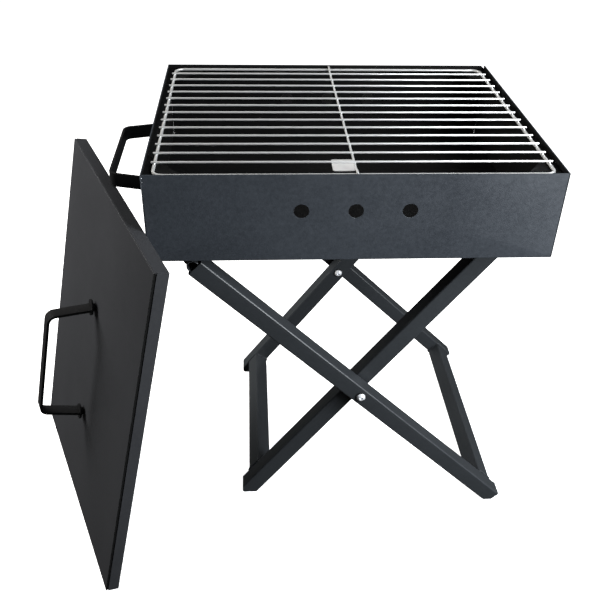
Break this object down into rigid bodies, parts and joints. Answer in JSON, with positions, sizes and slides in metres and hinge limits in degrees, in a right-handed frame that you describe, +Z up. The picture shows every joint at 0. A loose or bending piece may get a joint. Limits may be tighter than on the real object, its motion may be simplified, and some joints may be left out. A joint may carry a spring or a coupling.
{
  "type": "folding charcoal grill",
  "caption": "Open sheet steel firebox on crossed tube legs that fold flat beneath it, with a lift-out wire grate, a side handle and a loose pan lid leaning beside it.",
  "frame": {"origin": "on the floor, under the centre of the bounding box of the whole object with its leaning lid", "axes": "+X along the long side of the firebox, away from the side handle and the lid; +Y from the firebox's front to its back; +Z up"},
  "size_m": [0.5944, 0.4302, 0.4535],
  "materials": {
    "firebox_coating": "satin powder coat with a fine speckle",
    "lid_coating": "matt powder coat",
    "leg_coating": "satin powder coat",
    "bracket_coating": "satin powder coat",
    "handle_coating": "satin black",
    "plated_wire": "bright plated",
    "tag_steel": "fine brushed",
    "bolt_zinc": "bright zinc",
    "rivet_steel": "satin black",
    "blackened_steel": "black oxide",
    "black_plastic": "moulded"
  },
  "bodies": {
    "firebox": {"firebox_shell": "firebox_coating", "hinge_bracket_front": "bracket_coating", "hinge_bracket_rear": "bracket_coating", "catch_plate_front": "bracket_coating", "catch_plate_rear": "bracket_coating", "hinge_bracket_rivets": "rivet_steel", "catch_plate_rivets": "rivet_steel", "grate_support_front_left": "firebox_coating", "grate_support_rear_left": "firebox_coating", "grate_support_front_right": "firebox_coating", "grate_support_rear_right": "firebox_coating", "side_handle": "handle_coating"},
    "outer_frame": {"outer_leg_front": "leg_coating", "outer_leg_rear": "leg_coating", "outer_foot_bar": "leg_coating", "outer_foot_plugs": "black_plastic", "hinge_tube": "leg_coating", "pivot_bolt_front": "bolt_zinc", "pivot_bolt_rear": "bolt_zinc", "pivot_washers": "black_plastic", "pivot_spacers": "black_plastic", "pivot_nuts": "blackened_steel"},
    "inner_frame": {"inner_leg_front": "leg_coating", "inner_leg_rear": "leg_coating", "inner_foot_bar": "leg_coating", "inner_top_bar": "leg_coating", "inner_foot_plugs": "black_plastic", "inner_top_plugs": "black_plastic"},
    "grate": {"grate_frame": "plated_wire", "grate_cross_wire_01": "plated_wire", "grate_cross_wire_02": "plated_wire", "grate_cross_wire_03": "plated_wire", "grate_cross_wire_04": "plated_wire", "grate_cross_wire_05": "plated_wire", "grate_cross_wire_06": "plated_wire", "grate_cross_wire_07": "plated_wire", "grate_cross_wire_08": "plated_wire", "grate_cross_wire_09": "plated_wire", "grate_cross_wire_10": "plated_wire", "grate_cross_wire_11": "plated_wire", "grate_cross_wire_12": "plated_wire", "grate_cross_wire_13": "plated_wire", "grate_centre_wire": "plated_wire", "blank_tag": "tag_steel"},
    "lid": {"lid_shell": "lid_coating", "lid_handle": "handle_coating", "lid_handle_discs": "blackened_steel", "lid_handle_nuts": "blackened_steel", "lid_handle_screws": "blackened_steel"}
  },
  "joints": [
    {"name": "fold", "type": "hinge", "parent": "firebox", "child": "outer_frame", "pos_m": [-0.0682, 0.05509, 0.35028], "axis": [0, -1, 0], "range_deg": [0, 43.5]},
    {"name": "inner_frame_pivot", "type": "hinge", "parent": "outer_frame", "child": "inner_frame", "pos_m": [0.11103, 0.05509, 0.17599], "axis": [0, 1, 0], "range_deg": [0, 96.15]},
    {"name": "grate_lift", "type": "slide", "parent": "firebox", "child": "grate", "axis": [0, 0, 1], "range_m": [0, 0.15]},
    {"name": "lid_take_away", "type": "slide", "parent": "firebox", "child": "lid", "axis": [-1, 0, 0], "range_m": [0, 0.2]}
  ],
  "couplings": [
    {"joint": "inner_frame_pivot", "follows": "fold", "ratio": 2.2102}
  ]
}
